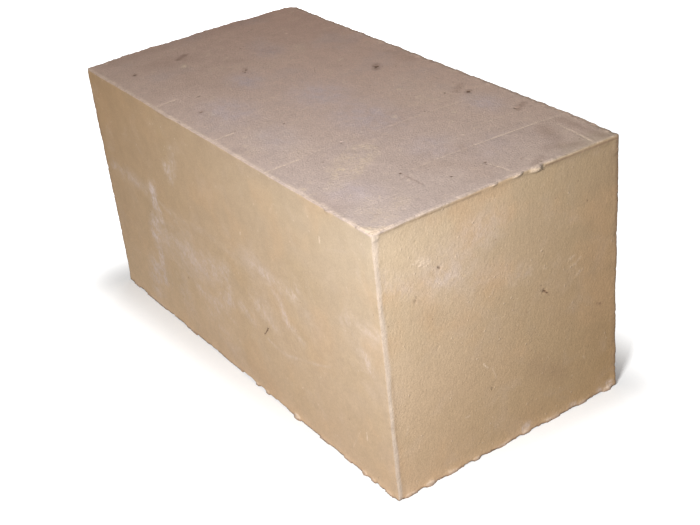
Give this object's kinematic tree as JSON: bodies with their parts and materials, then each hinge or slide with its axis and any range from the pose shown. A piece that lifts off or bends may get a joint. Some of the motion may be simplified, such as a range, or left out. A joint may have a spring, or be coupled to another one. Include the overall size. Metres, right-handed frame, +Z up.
{
  "type": "mud brick",
  "caption": "Solid rectangular block of raw moulded earth, with thin flash round its end faces and small lips squeezed out at its foot.",
  "frame": {"origin": "middle of the block's flat base", "axes": "+X along the length towards the head end, +Y across the width towards the back side, +Z up from the base"},
  "size_m": [0.303, 0.1503, 0.15],
  "materials": {
    "raw_earth": "matt dry raw clay, beige sides under a pinkish-grey dusty top, pale where thin flash has dried"
  },
  "bodies": {
    "root": {"mud_brick": "raw_earth"}
  },
  "joints": []
}
